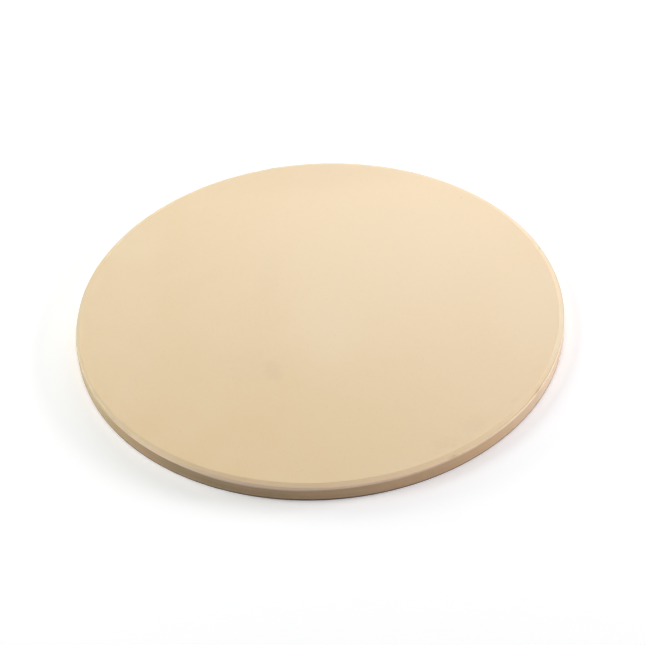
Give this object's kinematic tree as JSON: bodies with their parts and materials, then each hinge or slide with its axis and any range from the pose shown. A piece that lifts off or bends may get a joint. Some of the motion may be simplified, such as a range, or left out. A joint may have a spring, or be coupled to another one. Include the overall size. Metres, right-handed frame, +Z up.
{
  "type": "pizza stone",
  "caption": "Flat round baking stone with a sloping band around the baking face, a softened rim and a plain resting face.",
  "frame": {"origin": "centre of the flat resting face, on the surface that the stone lies on", "axes": "+Z up through the baking face; the stone is round, so +X and +Y are any two directions square to each other in the plane of the slab"},
  "size_m": [0.3799, 0.38, 0.014],
  "materials": {
    "fired_clay": "matte"
  },
  "bodies": {
    "root": {"baking_stone": "fired_clay"}
  },
  "joints": []
}
